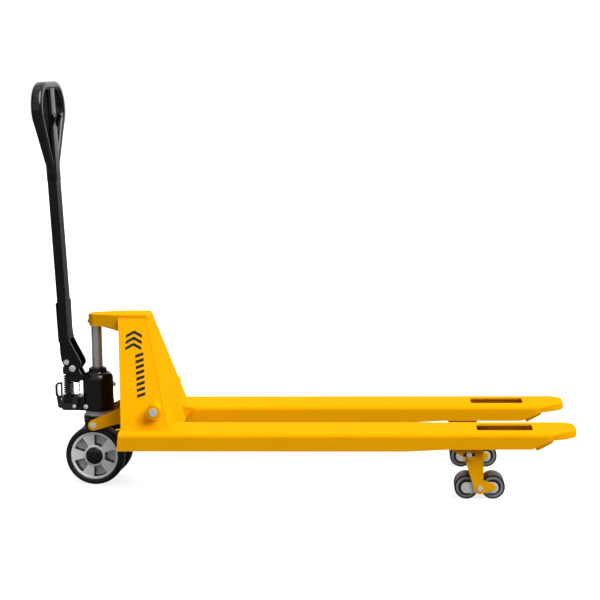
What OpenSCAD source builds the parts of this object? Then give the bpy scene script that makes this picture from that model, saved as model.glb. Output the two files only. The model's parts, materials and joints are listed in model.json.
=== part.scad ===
// Hand pallet jack with its forks fully raised, standing with its steering turned a few degrees.
// X runs from the handle to the fork tips, Y across the forks, Z up from the floor.

/* [Forks] */
// Height of the fork tops above the floor with the jack raised
fork_top = 205; // [203:1:207]
// Width across the outsides of both forks
overall_w = 540; // [530:1:550]
// Width of one fork
fork_w = 160; // [156:1:164]
// Distance from the foot of the sloped front plate to the fork tips
fork_reach = 1181; // [1160:1:1200]
// Thickness of the fork plate
fork_t = 5; // [4:0.5:6]
// Radius of the fork's bent top edges
fork_bend_r = 15; // [12:1:17]
// Depth of the fork's sides at the heel
fork_depth = 54; // [50:1:56]

/* [Housing] */
// Height of the top of the housing
housing_top = 506; // [500:1:510]
// Thickness of the housing's side plates and front plate
plate_t = 6; // [5:0.5:8]
// Thickness of the head bracket's top
head_t = 10; // [8:1:12]

/* [Lift ram] */
// Diameter of the ram
ram_d = 32; // [31:0.5:33]

/* [Steering] */
// Angle that the steering stands at, clockwise from above being negative
steer_angle = -4; // [-8:1:8]

/* [Wheels] */
// Diameter of the steer wheels
steer_d = 180; // [178:1:180]
// Width of one steer wheel
steer_w = 50; // [46:1:50]
// Diameter of the load rollers
roller_d = 70; // [68:1:70]
// Width of a load roller
roller_w = 68; // [64:1:69]
// Distance between a bogie's two rollers
roller_gap = 76.5; // [75:0.5:78]

/* [Handle] */
// Backward lean of the handle at rest
handle_lean = 2.6; // [2:0.1:3]
// Height of the top of the handle loop
handle_top = 1213; // [1200:1:1220]
// Width of the handle loop
loop_w = 270; // [250:1:280]
// Depth of the handle loop's bars, front to back
loop_t = 34; // [32:1:40]
// Width of the handle tube
tube_w = 50; // [48:1:50]
// Depth of the handle tube, front to back
tube_d = 28; // [26:1:28]

/* [Hidden] */
$fn = 48;

yellow = [0.92, 0.66, 0.02];
black = [0.05, 0.05, 0.05];
steel = [0.75, 0.75, 0.74];
chrome = [0.85, 0.85, 0.86];
alloy = [0.72, 0.73, 0.74];
rubber = [0.08, 0.08, 0.08];
urethane = [0.35, 0.35, 0.36];

// Radial clearance of a shaft that turns or slides in its hole
run = 0.05;
// Gap left between moving faces
gap = 0.5;
// Overlap of cutting bodies past the faces they cut
eps = 1;

// Rearmost point of the handle loop
loop_rear_x = -397.2;
// Middle of the whole jack along X, which becomes X = 0
middle_x = (fork_reach + loop_rear_x) / 2;

// Forks
fork_y = (overall_w - fork_w) / 2;
heel_x = -148;
free_x = 31;
fork_bottom = fork_top - fork_depth;
fork_thin = fork_depth - 6;
flange_end_x = fork_reach - 131;
nose_x = fork_reach - 96;
nose_t = 19;
tip_w = 62;
slot_x = fork_reach - 285;
slot_len = 161;
slot_w = 80;
slot_r = 10;

// Housing: each side plate leans in, the front plate leans back
foot_y = 225;
crown_y = 58;
foot_x = 0;
crown_x = -80;
rear_crown_x = -168;
housing_h = housing_top - fork_top;
side_lean = atan((foot_y - crown_y) / housing_h);
side_len = norm([foot_y - crown_y, housing_h]);
front_lean = atan((foot_x - crown_x) / housing_h);
front_len = norm([foot_x - crown_x, housing_h]);
skirt = 40;

// Steering column
steer_x = -244;
axle_z = steer_d / 2;
wheel_y = 25 + steer_w / 2;
axle_d = 20;
head_rear_x = -267;
head_end_w = 58;
head_bottom = housing_top + head_t - 36;
head_root_bottom = head_bottom - 12;
ram_top = housing_top - 2;
ram_bottom = 248;
column_d = 45;
column_bottom = 126;
base_z = 220;
body_z = 250;
body_r = 46;
shoulder_z = 336;
gland_z = 338;
gland_r = 27;
wiper_r = ram_d / 2 + 3.6;
gland_top = 349;
race_r = 40;
ball_r = 3;
ball_z = 212;
ball_track_r = 31;
ball_count = 20;
plunger_x = -336;
plunger_r = 17;
plunger_top = 351.7;
bridge_z = 312;
bridge_t = 15;
rear_block_top = 260;

// Rocker
pivot_x = -42;
pivot_z = fork_top + 54;
rear_pin_x = -245;
rear_pin_z = 189;
arm_y = 88;
arm_t = 10;
rear_pin_r = 8;
pivot_d = 24;
rocker_r = 19.5;
boss_d = 42;
boss_in = 182;
boss_out = 240;
lever_len = 105;
lever_turn = 15.55;
rod_y = fork_y - 36;
rod_end_t = 12;
rod_pin_r = 8;
clevis_t = 8;

// Load legs
leg_x = 872;
leg_z = fork_top - 67;
bogie_x = 904;
bogie_z = roller_d / 2;
leg_pin_d = 16;
bogie_pin_d = 16;
bogie_plate_y = 36;
bogie_plate_t = 6;
leg_cheek_y = 43.5;
leg_cheek_t = 8;
bracket_y = 53;
toe_x = 940;
toe_z = 39;
toe_r = 9;
bracket_t = 8;
crank_x = leg_x + 28;
crank_z = leg_z + 34;
lever_foot_x = pivot_x + lever_len * sin(lever_turn);
lever_foot_z = pivot_z - lever_len * cos(lever_turn);

// Handle
tilt_x = -314;
tilt_z = 350;
press_x = -332;
press_z = 369;
press_r = 17;
press_w = 26;
tube_x = -339;
tube_bottom = 448;
loop_bottom = 918;
ear_y = 17;
ear_t = 7.5;
cheek_t = 6;
grip_w = 27;
trigger_z = 1060;
hinge_x = -310;
hinge_z = base_z + 15;
chain_x = -303;
chain_pin_z = 265;
screw_z = head_bottom + 12;

// Moves a piece drawn with X = 0 at the foot of the front plate into place
module placed() {
    translate([-middle_x, 0, 0]) children();
}

// The same for a piece that turns with the steering
module steered() {
    placed() translate([steer_x, 0, 0]) rotate([0, 0, steer_angle]) translate([-steer_x, 0, 0]) children();
}

// Extrudes a side outline (X, Z) across Y, centred on y
module across(y, w) {
    translate([0, y, 0]) rotate([90, 0, 0]) linear_extrude(w, center = true) children();
}

// Cylinder along Y
module rod_y_axis(x, y, z, r, len) {
    translate([x, y, z]) rotate([90, 0, 0]) cylinder(r = r, h = len, center = true);
}

// Tube along Y
module tube_y_axis(x, y, z, r_out, r_in, len) {
    difference() {
        rod_y_axis(x, y, z, r_out, len);
        rod_y_axis(x, y, z, r_in, len + 2 * eps);
    }
}

function unit(a) = [cos(a), sin(a)];

// Outline with two round ends and the straight sides that touch both
module strap(x1, z1, r1, x2, z2, r2) {
    span = norm([x2 - x1, z2 - z1]);
    along = atan2(z2 - z1, x2 - x1);
    lean = acos((r1 - r2) / span);
    translate([x1, z1]) circle(r = r1);
    translate([x2, z2]) circle(r = r2);
    polygon([
        [x1, z1] + r1 * unit(along + lean), [x2, z2] + r2 * unit(along + lean),
        [x2, z2] + r2 * unit(along - lean), [x1, z1] + r1 * unit(along - lean)
    ]);
}

// Cross section of a fork, top edges bent round
module fork_section(w, h, r) {
    translate([-w / 2, -h]) square([w, h - r]);
    translate([-w / 2 + r, -h]) square([w - 2 * r, h]);
    for (side = [-1, 1]) translate([side * (w / 2 - r), -r]) circle(r = r);
}

// Straight length of fork channel, open below
module fork_channel(x1, x2, h) {
    translate([x1, 0, fork_top]) rotate([90, 0, 90]) linear_extrude(x2 - x1) {
        fork_section(fork_w, h, fork_bend_r);
    }
}

module fork_cavity(x1, x2) {
    translate([x1, 0, fork_top - fork_t]) rotate([90, 0, 90]) linear_extrude(x2 - x1) {
        fork_section(fork_w - 2 * fork_t, fork_depth, fork_bend_r - fork_t);
    }
}

// Side outline of a fork from the heel to the nose
module fork_side() {
    polygon([
        [free_x, fork_top], [fork_reach, fork_top], [fork_reach, fork_top - nose_t + 4],
        [fork_reach - 6, fork_top - nose_t], [fork_reach - 68, fork_top - nose_t - 3],
        [flange_end_x, fork_top - fork_thin], [812, fork_top - fork_thin],
        [690, fork_bottom], [free_x, fork_bottom]
    ]);
}

// Plan of a fork: straight sides and a nose that rounds in like an ellipse
module fork_plan() {
    nose_len = fork_reach - nose_x;
    arc = [for (a = [0 : 5 : 90]) [
        nose_x + nose_len * sin(a), tip_w / 2 + (fork_w - tip_w) / 2 * cos(a)
    ]];
    mirrored = [for (i = [len(arc) - 1 : -1 : 0]) [arc[i][0], -arc[i][1]]];
    polygon(concat([[free_x, fork_w / 2]], arc, mirrored, [[free_x, -fork_w / 2]]));
}

module rounded_slot(len, w, r) {
    translate([r, -w / 2]) square([len - 2 * r, w]);
    translate([0, -w / 2 + r]) square([len, w - 2 * r]);
    for (x = [r, len - r], y = [-1, 1]) translate([x, y * (w / 2 - r)]) circle(r = r);
}

module fork(side) {
    color(yellow) placed() translate([0, side * fork_y, 0]) difference() {
        intersection() {
            fork_channel(free_x, fork_reach, fork_depth);
            across(0, fork_w + eps) fork_side();
            translate([0, 0, fork_bottom - eps]) linear_extrude(fork_depth + 2 * eps) fork_plan();
        }
        fork_cavity(free_x - eps, nose_x - 6);
        translate([slot_x, 0, fork_top - 2 * fork_t]) linear_extrude(3 * fork_t) {
            rounded_slot(slot_len, slot_w, slot_r);
        }
    }
}

// Heel: the channel under the housing, with a slot in its top for the torsion lever
module heel(side) {
    color(yellow) placed() difference() {
        translate([0, side * fork_y, 0]) difference() {
            fork_channel(heel_x, free_x, fork_depth);
            fork_cavity(heel_x + fork_t, free_x + eps);
        }
        across(side * fork_y, fork_w + eps) polygon([
            [heel_x - eps, fork_bottom - eps], [heel_x, fork_bottom - eps],
            [heel_x + 7, fork_top + eps], [heel_x - eps, fork_top + eps]
        ]);
        translate([pivot_x - 42, side * rod_y - 20, fork_top - 2 * fork_t]) cube([84, 40, 3 * fork_t]);
    }
}

// Sloping slab whose inner face is the front plate's inner face
module front_slab(inset) {
    translate([foot_x, 0, fork_top]) rotate([0, -front_lean, 0]) {
        translate([-inset, -2 * foot_y, -4 * skirt]) cube([4 * foot_y, 4 * foot_y, 2 * front_len]);
    }
}

module side_plate(side) {
    color(yellow) placed() difference() {
        intersection() {
            translate([0, side * foot_y, fork_top]) rotate([side * side_lean, 0, 0]) {
                translate([-2 * foot_y, side > 0 ? -plate_t : 0, -skirt]) {
                    cube([4 * foot_y, plate_t, side_len + 2 * skirt]);
                }
            }
            across(0, 3 * foot_y) polygon([
                [heel_x + 8, fork_top], [foot_x, fork_top], [crown_x, housing_top],
                [rear_crown_x, housing_top]
            ]);
        }
        front_slab(plate_t);
        rod_y_axis(pivot_x, side * foot_y, pivot_z, boss_d / 2, 2 * foot_y);
    }
}

// Outline of the front plate across Y, measured up its slope from the fork tops
module front_outline() {
    polygon([
        [-foot_y, 0], [foot_y, 0], [crown_y, front_len], [-crown_y, front_len]
    ]);
    translate([-fork_y + fork_w / 2, -skirt]) square([2 * fork_y - fork_w, skirt + eps]);
}

module front_plate() {
    color(yellow) placed() {
        difference() {
            translate([foot_x, 0, fork_top]) rotate([0, -front_lean, 0]) rotate([90, 0, -90]) {
                linear_extrude(plate_t) front_outline();
            }
            translate([-2 * foot_y, -2 * foot_y, housing_top]) cube(4 * foot_y);
            for (side = [-1, 1]) {
                translate([-foot_y, side * (2 * foot_y + fork_y - fork_w / 2) - 2 * foot_y, 0]) {
                    cube([2 * foot_y, 4 * foot_y, fork_top]);
                }
            }
        }
        for (side = [-1, 1]) across(side * (fork_y - fork_w / 2 - plate_t / 2), plate_t) polygon([
            [foot_x + 0.3, fork_top], [foot_x + 34, fork_top - 4],
            [foot_x + 34, fork_top - 14], [foot_x + 10.3, fork_top - skirt + 3]
        ]);
    }
}

// Plan of the head bracket, wide on the housing and round over the ram
module head_plan(inset) {
    r = head_end_w / 2;
    hull() {
        translate([head_rear_x + r, 0]) circle(r = r - inset, $fn = 40);
        translate([rear_crown_x, -50 + inset]) square([8, 100 - 2 * inset]);
    }
    translate([rear_crown_x + 7, -50 + inset]) square([crown_x - rear_crown_x - 1 - inset, 100 - 2 * inset]);
}

module head_bracket() {
    top = housing_top + head_t;
    color(yellow) placed() {
        difference() {
            intersection() {
                translate([0, 0, head_root_bottom]) linear_extrude(top - head_root_bottom) head_plan(0);
                across(0, 2 * foot_y) polygon([
                    [head_rear_x - eps, top - 4], [head_rear_x + 5, top + 0.01], [crown_x - 3, top + 0.01],
                    [crown_x + 3, housing_top], [rear_crown_x + 1, housing_top],
                    [rear_crown_x - 1, housing_top - 6], [rear_crown_x - 1, head_root_bottom],
                    [head_rear_x + 45, head_bottom], [head_rear_x + 6, head_bottom],
                    [head_rear_x - eps, head_bottom + 14]
                ]);
            }
            translate([0, 0, head_root_bottom - eps]) linear_extrude(housing_top - head_root_bottom + eps) {
                head_plan(6);
            }
            translate([head_rear_x - 5, 0, screw_z]) rotate([0, 90, 0]) cylinder(r = 3.1, h = 20);
        }
        difference() {
            translate([steer_x, 0, head_bottom + 2]) cylinder(r = 19, h = housing_top - head_bottom - 1);
            translate([steer_x, 0, head_bottom]) cylinder(d = ram_d + 0.1, h = ram_top - head_bottom);
        }
    }
}

module boss(side) {
    color(yellow) placed() {
        difference() {
            tube_y_axis(pivot_x, side * (boss_in + boss_out) / 2, pivot_z, boss_d / 2,
                pivot_d / 2 + run, boss_out - boss_in);
            translate([foot_x, 0, fork_top]) rotate([0, -front_lean, 0]) {
                translate([-plate_t, -foot_y, 0]) cube([plate_t, 2 * foot_y, front_len]);
            }
        }
    }
}

// Wing that hangs the leg's pivot under the fork
module leg_bracket(side) {
    color(yellow) placed() for (w = [-1, 1]) difference() {
        across(side * fork_y + w * (bracket_y + bracket_t / 2), bracket_t) {
            polygon([
                [leg_x - 60, fork_top - fork_t], [leg_x + 8, fork_top - fork_t], [leg_x + 15, leg_z + 8],
                [leg_x + 6, leg_z - 13], [leg_x - 8, leg_z - 14], [leg_x - 60, fork_top - fork_thin + 2]
            ]);
            translate([leg_x, leg_z]) circle(r = 16);
        }
        rod_y_axis(leg_x, side * fork_y, leg_z, leg_pin_d / 2 + run, fork_w);
    }
}

// Sloping plate under the tip that rides over a pallet's boards
module entry_skid(side) {
    x1 = flange_end_x;
    z1 = fork_top - fork_thin;
    x2 = fork_reach - 68;
    z2 = fork_top - nose_t - 3;
    rise = (z2 - z1) / (x2 - x1);
    color(yellow) placed() across(side * fork_y, fork_w - 2 * fork_t - 2) polygon([
        [x1 + 12, z1 + 12 * rise - 0.1], [x1 + 12, z1 - 2], [x1 + 17, z1 - 5],
        [x2 - 4, z2 - 8], [x2, z2 - 0.1]
    ]);
}

module piston_rod() {
    color(chrome) placed() translate([steer_x, 0, ram_bottom]) {
        cylinder(d = ram_d, h = ram_top - ram_bottom);
    }
}

// Set screw that holds the ram in the head bracket
module ram_screw() {
    color(steel) placed() translate([head_rear_x - 3.4, 0, screw_z]) rotate([0, 90, 0]) {
        cylinder(d = 11, h = 3.3, $fn = 6);
        translate([0, 0, 3]) cylinder(d = 6, h = 4);
    }
}

// Seat ring of the steering, which stays in line with the forks; its lugs sit on the rocker's rear pins
module seat_bracket() {
    slot_x1 = rear_pin_x - 22;
    slot_x2 = rear_pin_x + 10;
    lug_y = arm_y - 4.5;
    color(black) placed() difference() {
        union() {
            translate([steer_x, 0, axle_z + 93]) cylinder(r = body_r, h = 22);
            translate([steer_x - 24, -lug_y, axle_z + 93]) cube([44, 2 * lug_y, 13]);
            for (side = [-1, 1]) translate([steer_x - 29, side * (lug_y - 3) - 3, rear_pin_z - 7.5]) {
                cube([50, 6, 22]);
            }
        }
        translate([steer_x, 0, axle_z]) cylinder(d = column_d + 2 * run, h = 150);
        for (side = [-1, 1]) translate([slot_x1, side * lug_y - 8, axle_z]) {
            cube([slot_x2 - slot_x1, 16, rear_pin_z + rear_pin_r + 1.5 - axle_z]);
        }
        translate([steer_x, 0, axle_z + 115 - 4]) cylinder(r = race_r + 0.05, h = 10);
    }
}

// One flat thrust race with its ball groove
module race(z1, z2) {
    difference() {
        translate([steer_x, 0, z1]) cylinder(r = race_r, h = z2 - z1);
        translate([steer_x, 0, z1 - eps]) cylinder(d = column_d + 2 * run, h = z2 - z1 + 2 * eps);
        translate([steer_x, 0, ball_z]) rotate_extrude() {
            translate([ball_track_r, 0]) circle(r = ball_r + 0.3);
        }
    }
}

module lower_race() {
    color(steel) placed() race(axle_z + 111, ball_z - 0.5);
}

module upper_race() {
    color(steel) steered() race(ball_z + 0.5, base_z);
}

module thrust_balls() {
    color(steel) steered() translate([steer_x, 0, ball_z]) {
        for (i = [0 : ball_count - 1]) rotate([0, 0, i * 360 / ball_count]) {
            translate([ball_track_r, 0, 0]) sphere(r = ball_r);
        }
    }
}

// Cylinder column with the pump body round it
module pump_body() {
    corner = 20;
    color(black) steered() difference() {
        union() {
            translate([steer_x, 0, 0]) rotate_extrude() {
                difference() {
                    union() {
                        translate([0, column_bottom]) square([column_d / 2, body_z - column_bottom + eps]);
                        translate([0, body_z]) square([body_r, shoulder_z - body_z - corner]);
                        translate([0, body_z]) square([body_r - corner, shoulder_z - body_z]);
                        translate([body_r - corner, shoulder_z - corner]) circle(r = corner);
                        polygon([
                            [0, shoulder_z - 2], [body_r - 13, shoulder_z - 2],
                            [gland_r + 3, gland_z], [0, gland_z]
                        ]);
                    }
                    translate([-200, 0]) square([200, 2 * gland_z]);
                }
            }
            translate([steer_x, 0, body_z + 48]) rotate([0, 90, 0]) cylinder(r = 9, h = body_r + 1);
            // Bridge to the plunger and to the handle's ears
            intersection() {
                translate([plunger_x - 4, -ear_y - ear_t, bridge_z]) {
                    cube([64, 2 * (ear_y + ear_t), bridge_t]);
                }
                translate([plunger_x + 2, 0, 300]) cylinder(r = 60, h = 60);
            }
            for (side = [-1, 1]) across(side * (ear_y + ear_t / 2), ear_t) {
                strap(tilt_x, tilt_z, 13, tilt_x + 8, bridge_z + 11, 18);
            }
        }
        translate([steer_x, 0, column_bottom + 6]) cylinder(d = ram_d + 2 * run, h = 300);
        translate([plunger_x, 0, body_z]) cylinder(r = plunger_r + 2.5, h = 200);
        for (side = [-1, 1]) rod_y_axis(tilt_x, side * 30, tilt_z, 6.5, 40);
        translate([steer_x, 0, gland_z - 8]) cylinder(r = wiper_r + 0.1, h = 20);
        translate([chain_x, 0, body_z]) cylinder(r = 6, h = 200);
    }
}

// Block under the pump body that carries the plunger's cylinder
module pump_base() {
    color(black) steered() difference() {
        union() {
            translate([steer_x, 0, base_z]) linear_extrude(body_z - base_z) {
                circle(r = 47);
                translate([-110, -30]) square([80, 60]);
            }
            translate([steer_x - 110, -30, body_z - eps]) cube([62, 60, rear_block_top - body_z + eps]);
            translate([plunger_x, 0, body_z - 1]) cylinder(r = 18, h = 16);
            translate([steer_x - 28, -47, hinge_z]) rotate([-90, 0, 0]) cylinder(r = 11, h = 30);
        }
        translate([steer_x, 0, base_z - eps]) cylinder(d = column_d + 0.1, h = body_z - base_z + 2 * eps);
        translate([plunger_x, 0, base_z + 4]) cylinder(r = 9 + run, h = 60);
        for (side = [-1, 1]) translate([steer_x - 110, side * 30, base_z]) {
            rotate([0, 0, 45]) cube([14, 14, 3 * (body_z - base_z)], center = true);
        }
    }
}

module gland_nut() {
    color(black) steered() difference() {
        union() {
            translate([steer_x, 0, gland_z]) cylinder(r = gland_r, h = gland_top - gland_z - 2);
            translate([steer_x, 0, gland_top - 2]) cylinder(r1 = gland_r, r2 = gland_r - 2, h = 2);
            translate([steer_x, 0, gland_z - 8]) cylinder(r = wiper_r, h = 9);
        }
        translate([steer_x, 0, gland_z - 20]) cylinder(d = ram_d + 2 * run, h = 60);
        translate([steer_x, 0, gland_top - 4]) cylinder(r = wiper_r + 0.1, h = 10);
        for (a = [0 : 60 : 300]) rotate_about_ram(a) {
            translate([gland_r - 2, -3, gland_z + 4]) cube([10, 6, 10]);
        }
    }
}

module rotate_about_ram(a) {
    translate([steer_x, 0, 0]) rotate([0, 0, a]) children();
}

module wiper_ring() {
    color(rubber) steered() translate([steer_x, 0, gland_top - 4]) difference() {
        union() {
            cylinder(r = wiper_r, h = 4.5);
            translate([0, 0, 4.5]) cylinder(r1 = wiper_r, r2 = wiper_r - 2.5, h = 2);
        }
        translate([0, 0, -eps]) cylinder(d = ram_d + 2 * run, h = 10);
    }
}

// Clamp between the wheels that holds their axle
module axle_carrier() {
    color(black) steered() difference() {
        union() {
            translate([steer_x, 0, axle_z - 22]) cylinder(r = 23.4, h = 88);
            rod_y_axis(steer_x, 0, axle_z, 21, 47);
        }
        translate([steer_x, 0, column_bottom]) cylinder(d = column_d + 0.1, h = 100);
        rod_y_axis(steer_x, 0, axle_z, axle_d / 2 + 0.05, 100);
    }
}

module wheel_axle() {
    color(steel) steered() {
        rod_y_axis(steer_x, 0, axle_z, axle_d / 2, 2 * (wheel_y + steer_w / 2) - 12);
    }
}

// Outline of a wheel's half section: [radius, offset along the axle]
module wheel_ring(r1, r2, w, edge) {
    translate([r1, -w / 2 + edge]) square([r2 - r1, w - 2 * edge]);
    translate([r1, -w / 2]) square([r2 - r1 - edge, w]);
    for (v = [-1, 1]) translate([r2 - edge, v * (w / 2 - edge)]) circle(r = edge);
}

// Turns a half section into a wheel with its axle along Y
module wheel_at(x, y, z) {
    translate([x, y, z]) rotate([90, 0, 0]) children();
}

module steer_tyre(side) {
    color(rubber) steered() wheel_at(steer_x, side * wheel_y, axle_z) {
        rotate_extrude() wheel_ring(steer_d / 2 - 17.5, steer_d / 2, steer_w, 6);
    }
}

module steer_rim(side) {
    rim_r = steer_d / 2 - 17.5;
    face = steer_w / 2 - 3;
    color(alloy) steered() wheel_at(steer_x, side * wheel_y, axle_z) difference() {
        cylinder(r = rim_r, h = 2 * face, center = true);
        cylinder(d = axle_d + 2 * run, h = 2 * steer_w, center = true);
        for (v = [-1, 1]) translate([0, 0, v * face]) {
            difference() {
                cylinder(r = rim_r - 5, h = 8, center = true);
                cylinder(r = 30, h = 20, center = true);
            }
        }
        for (i = [0 : 4], v = [-1, 1]) rotate([0, 0, 90 + i * 72]) {
            translate([0, 0, v * face]) linear_extrude(26, center = true) polygon([
                [34, -15], [rim_r - 11, -25], [rim_r - 7, -12], [rim_r - 7, 12], [rim_r - 11, 25], [34, 15]
            ]);
        }
        for (v = [-1, 1]) translate([0, 0, v * (face - 2)]) cylinder(r = 22.1, h = 14, center = true);
    }
}

module hub_cap(side) {
    face = steer_w / 2 - 9;
    color(black) steered() {
        wheel_at(steer_x, side * wheel_y, axle_z) rotate([side > 0 ? 180 : 0, 0, 0]) difference() {
            union() {
                translate([0, 0, face]) cylinder(r = 22, h = 7);
                translate([0, 0, steer_w / 2 - 3]) cylinder(r = 25, h = 3);
                translate([0, 0, steer_w / 2]) cylinder(r1 = 25, r2 = 21, h = 2);
                translate([0, 0, steer_w / 2 + 2]) cylinder(r1 = 21, r2 = 14, h = 1.5);
            }
            translate([0, 0, face - 8]) cylinder(r = axle_d / 2 + gap, h = 12);
        }
    }
}

module filler_plug() {
    color(steel) steered() translate([steer_x + body_r + 1, 0, body_z + 48]) rotate([0, 90, 0]) {
        cylinder(d = 13, h = 7, $fn = 6);
    }
}

// Foot bolt and the release lever's hinge bolt
module pump_bolts() {
    color(steel) steered() {
        rod_y_axis(steer_x - 28, -50, hinge_z, 8, 6);
        rod_y_axis(hinge_x, -36, hinge_z, 4, 12);
        translate([hinge_x, -41, hinge_z]) rotate([90, 0, 0]) cylinder(d = 12, h = 5, $fn = 6);
    }
}

module handle_pivot_pins() {
    color(steel) steered() for (side = [-1, 1]) {
        rod_y_axis(tilt_x, side * (ear_y + 11), tilt_z, 6.45, 22);
        rod_y_axis(tilt_x, side * (tube_w / 2 + cheek_t + 3.5), tilt_z, 10, 5);
    }
}

// Chain from the guide by the handle's pivot down to the release lever
module pull_chain() {
    links = 11;
    color(steel) steered() for (i = [0 : links - 1]) {
        translate([chain_x, 0, 348 - i * 7.2]) {
            rotate([0, 0, 90 * (i % 2)]) rotate([90, 0, 0]) rotate_extrude($fn = 24) {
                translate([3.4, 0]) circle(r = 0.9, $fn = 16);
            }
        }
    }
}

module plunger() {
    color(steel) steered() {
        translate([plunger_x, 0, base_z + 45]) cylinder(r = 9, h = 70);
        translate([plunger_x, 0, 331]) cylinder(r = plunger_r, h = 18);
        translate([plunger_x, 0, 349]) cylinder(r1 = plunger_r, r2 = plunger_r - 2.7, h = plunger_top - 349);
    }
}

// Return spring as stacked turns round the plunger
module plunger_spring() {
    turns = 9;
    color(steel) steered() for (i = [0 : turns - 1]) {
        translate([plunger_x, 0, 268 + i * 7.4]) rotate_extrude() translate([14, 0]) circle(r = 2.4);
    }
}

// Frame of the leaning handle: Z up the tube from its foot
module handle_frame() {
    translate([tube_x, 0, tube_bottom]) rotate([0, -handle_lean, 0]) children();
}

module handle_tube() {
    color(black) steered() handle_frame() difference() {
        tube_len = loop_bottom - tube_bottom + 40;
        translate([-tube_d / 2, -tube_w / 2, 0]) cube([tube_d, tube_w, tube_len]);
        translate([-tube_d / 2 + 3, -tube_w / 2 + 3, -eps]) {
            cube([tube_d - 6, tube_w - 6, tube_len + 2 * eps]);
        }
    }
}

// One cheek: from the pivot and its nose up the tube's side
module cheek_outline() {
    polygon([
        [-353, 556], [-353, 440], [-351, 395], [-348, 374], [-340, 356], [-326, 342],
        [-312, 337], [-300, 340], [-287, 360], [-289, 372], [-308, 408], [-324, 440], [-327, 470],
        [-329, 556]
    ]);
}

module handle_bracket() {
    color(black) steered() difference() {
        union() {
            for (side = [-1, 1]) {
                across(side * (tube_w / 2 + cheek_t / 2 + 0.05), cheek_t) cheek_outline();
            }
            // Web behind the tube's foot joining the cheeks
            handle_frame() translate([-tube_d / 2 - 4.1, -tube_w / 2 - 3, -18]) cube([4, tube_w + 6, 120]);
            handle_frame() translate([-tube_d / 2, -tube_w / 2 - 3, -10]) cube([tube_d + 2, tube_w + 6, 9.9]);
        }
        rod_y_axis(tilt_x, 0, tilt_z, 6.5, 200);
        rod_y_axis(press_x, 0, press_z, 6.05, 200);
        handle_frame() translate([0, 0, -30]) cylinder(d = 9, h = 60);
    }
}

// Outline of the loop across Y, measured up the handle from the tube's foot
module loop_shape(inset) {
    r = 80 - inset;
    reach = loop_w / 2 - 80;
    top_z = handle_top - tube_bottom + 1;
    hull() {
        for (side = [-1, 1]) translate([side * reach, top_z - 80]) circle(r = r, $fn = 48);
        translate([0, loop_bottom - tube_bottom + 30 + 2 * inset]) circle(r = 30 - inset * 0.6, $fn = 32);
    }
}

module handle_loop() {
    foot = loop_bottom - tube_bottom;
    spine_d = tube_d + 4;
    color(black) steered() handle_frame() difference() {
        union() {
            rotate([90, 0, 90]) linear_extrude(loop_t, center = true) difference() {
                loop_shape(0);
                loop_shape(grip_w);
            }
            translate([-spine_d / 2, -tube_w / 2, foot]) {
                cube([spine_d, tube_w, handle_top - loop_bottom - 10]);
            }
            translate([-tube_d / 2 - 5, -tube_w / 2 - 5, foot - 18]) cube([tube_d + 10, tube_w + 10, 40]);
        }
        translate([-tube_d / 2 - 0.05, -tube_w / 2 - 0.05, 0]) {
            cube([tube_d + 0.1, tube_w + 0.1, foot + 40.1]);
        }
        rod_y_axis(0, 0, trigger_z - tube_bottom, 5 + run, 2 * tube_w);
    }
}

// Rod inside the tube from the control lever to the chain
module pull_rod() {
    color(steel) steered() handle_frame() cylinder(d = 7, h = loop_bottom - tube_bottom + 36);
}

module roller_axle() {
    color(steel) steered() {
        rod_y_axis(press_x, 0, press_z, 6, 2 * (tube_w / 2 + cheek_t) + 2);
        for (side = [-1, 1]) rod_y_axis(press_x, side * (tube_w / 2 + cheek_t + 2.5), press_z, 8, 4.8);
    }
}

module press_roller() {
    color(steel) steered() tube_y_axis(press_x, 0, press_z, press_r, 6 + run, press_w);
}

// Control lever: a shaft through the spine with an arm and a finger pad on each side
module control_lever() {
    z = trigger_z - tube_bottom;
    arm = tube_w / 2 + 4;
    color(black) steered() handle_frame() {
        rod_y_axis(0, 0, z, 5, 2 * arm);
        for (side = [-1, 1]) {
            across(side * arm, 6) strap(0, z, 9, 22, z + 50, 8);
            rod_y_axis(22, side * (arm + 9), z + 50, 7, 18);
        }
    }
}

// Release lever: hinge at the base, hoop at the rear, cross pin under the chain
module release_lever() {
    near_y = -38;
    color(black) steered() {
        difference() {
            across(near_y, 5) {
                strap(hinge_x, hinge_z, 10, -354, base_z + 16, 7);
                strap(-354, base_z + 16, 7, -358, 262, 6);
                strap(hinge_x, hinge_z, 10, chain_x, chain_pin_z, 6);
            }
            rod_y_axis(hinge_x, near_y, hinge_z, 4 + run, 20);
        }
        across(near_y, 8) difference() {
            polygon([[-346, 309], [-361, 307], [-367, 300], [-367, 270], [-361, 261], [-346, 259]]);
            polygon([[-350, 303], [-358, 302], [-361.5, 298], [-361.5, 273], [-358, 268], [-350, 266]]);
        }
        rod_y_axis(chain_x, near_y / 2 + 2, chain_pin_z, 3, 4 - near_y);
    }
}

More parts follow.
